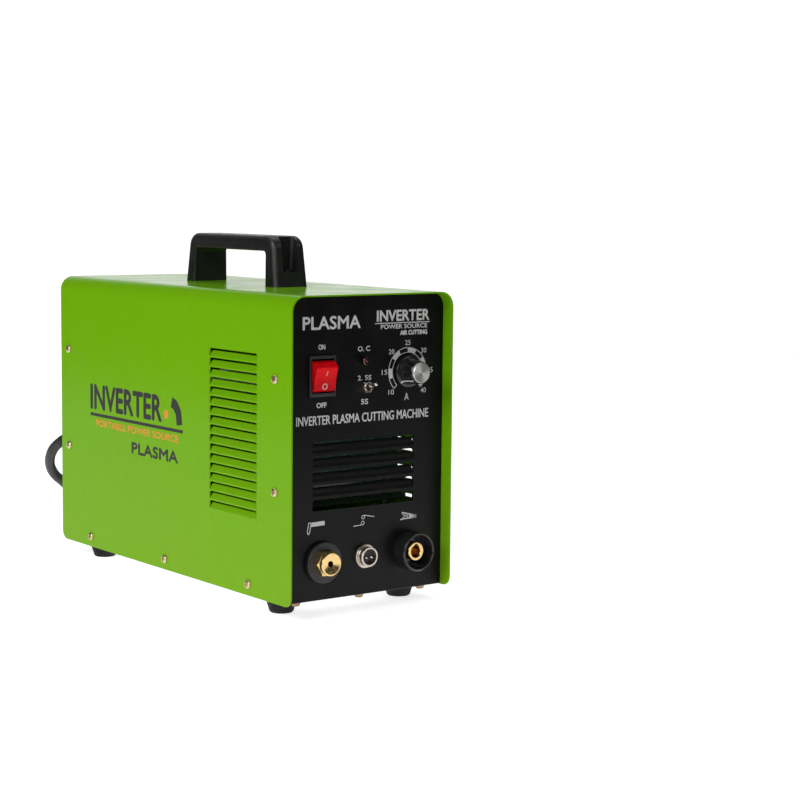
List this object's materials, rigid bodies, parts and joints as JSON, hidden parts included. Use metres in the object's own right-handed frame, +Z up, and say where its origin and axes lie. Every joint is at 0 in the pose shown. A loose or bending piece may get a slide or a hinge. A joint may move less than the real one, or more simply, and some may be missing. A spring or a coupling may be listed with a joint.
{
  "type": "plasma cutter power source",
  "caption": "Portable inverter plasma cutter: green folded steel cover, black panels, carrying handle, rocker switch, current knob, toggle, torch and work sockets, fan and mains cord.",
  "frame": {"origin": "on the floor under the middle of the case", "axes": "+Z up, -Y the front with the controls, +X to the right seen from the front"},
  "size_m": [0.2443, 0.563, 0.2915],
  "materials": {
    "green_cover": "gloss powder coat",
    "black_panel": "satin powder coat",
    "zinc_plate": "zinc plated",
    "zinc_screw": "yellow passivated zinc",
    "black_screw": "black oxide",
    "black_plastic": "fine grain",
    "switch_housing": "moulded",
    "red_switch": "translucent gloss",
    "lamp_lens": "clear",
    "chrome": "nickel plated",
    "aluminium": "spun",
    "white_mark": "paint filled",
    "brass": "machined",
    "circuit_board": "solder mask",
    "ferrite": "sintered",
    "copper": "enamelled copper wire",
    "black_rubber": "smooth sheath",
    "foot_rubber": "moulded",
    "tie": "woven strap"
  },
  "bodies": {
    "case": {"cover_shell": "green_cover", "cover_screws": "zinc_screw", "base_plate": "zinc_plate", "front_panel": "black_panel", "rear_panel": "black_panel", "panel_screws": "zinc_screw", "handle": "black_plastic", "handle_fasteners": "black_screw", "foot_fasteners": "zinc_screw", "rocker_housing": "switch_housing", "rocker_terminals": "brass", "lamp_bezel": "chrome", "lamp_lens": "lamp_lens", "toggle_body": "chrome", "control_nuts": "chrome", "potentiometer": "zinc_plate", "torch_insulator": "black_plastic", "torch_connector": "brass", "trigger_socket_shell": "chrome", "trigger_socket_insert": "black_plastic", "trigger_socket_pins": "chrome", "work_socket_collar": "black_plastic", "work_socket_contact": "brass", "socket_nuts": "brass", "control_board": "circuit_board", "power_board": "circuit_board", "board_standoffs": "zinc_plate", "heatsinks": "aluminium", "filter_capacitors": "black_plastic", "bridge_rectifier": "black_plastic", "transformer_core": "ferrite", "transformer_winding": "copper", "inductor_core": "ferrite", "inductor_winding": "copper", "valve_body": "brass", "valve_coil": "black_plastic", "valve_spring": "chrome", "air_inlet_fitting": "brass", "air_hoses": "black_rubber", "fan_frame": "black_plastic", "fan_guard": "chrome", "fan_screws": "zinc_screw", "cord_gland": "black_plastic", "strain_relief": "black_rubber", "cord_tie": "tie", "mains_cord": "black_rubber", "mains_cord_coil": "black_rubber", "mains_plug": "black_rubber", "foot_front_left": "foot_rubber", "foot_front_right": "foot_rubber", "foot_rear_left": "foot_rubber", "foot_rear_right": "foot_rubber"},
    "rocker": {"rocker_paddle": "red_switch"},
    "toggle": {"toggle_lever": "chrome"},
    "current_knob": {"knob_shaft": "aluminium", "knob_body": "black_plastic", "knob_cap": "aluminium", "knob_pointer": "white_mark"},
    "fan": {"fan_rotor": "black_plastic"},
    "air_valve_plunger": {"valve_plunger": "chrome"}
  },
  "joints": [
    {"name": "mains_rocker", "type": "hinge", "parent": "case", "child": "rocker", "pos_m": [-0.042, -0.1712, 0.1874], "axis": [-1, 0, 0], "range_deg": [0, 26]},
    {"name": "post_flow_toggle", "type": "hinge", "parent": "case", "child": "toggle", "pos_m": [-0.001, -0.1747, 0.1768], "axis": [1, 0, 0], "range_deg": [0, 26]},
    {"name": "current_knob_turn", "type": "hinge", "parent": "case", "child": "current_knob", "pos_m": [0.0407, -0.1842, 0.1873], "axis": [0, 1, 0], "range_deg": [0, 270]},
    {"name": "fan_spin", "type": "hinge", "parent": "case", "child": "fan", "pos_m": [0, 0.168, 0.172], "axis": [0, 1, 0], "continuous": true},
    {"name": "air_valve_lift", "type": "slide", "parent": "case", "child": "air_valve_plunger", "axis": [0, 0, 1], "range_m": [0, 0.002], "stiffness_N_per_m": 300, "springref_m": -0.004, "deforming": ["valve_spring"]}
  ]
}
